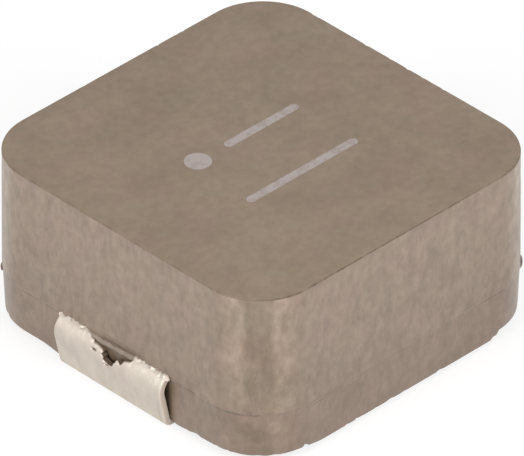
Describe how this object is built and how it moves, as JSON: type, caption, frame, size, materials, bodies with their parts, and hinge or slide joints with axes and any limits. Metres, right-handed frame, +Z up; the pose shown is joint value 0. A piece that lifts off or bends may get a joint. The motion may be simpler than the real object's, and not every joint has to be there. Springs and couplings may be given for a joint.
{
  "type": "shielded smd inductor",
  "caption": "Square moulded power inductor with rounded corners: a pressed metal-powder block round a flat-wire coil, on folded tinned strap terminals for soldering to a board.",
  "frame": {"origin": "centre of the footprint on the board plane, which the undersides of the feet lie in", "axes": "+Z up from the board, +X from the left strap to the right strap, +Y along the straps' width"},
  "size_m": [0.0086, 0.008, 0.0039],
  "materials": {
    "composite": "matte pressed metal powder in resin, fine streaks down the walls",
    "copper": "enamelled copper",
    "tin": "satin tin plating",
    "ink": "pale marking ink on the top face"
  },
  "bodies": {
    "root": {"moulded_body": "composite", "coil": "copper", "terminal_left": "tin", "terminal_right": "tin"}
  },
  "joints": []
}
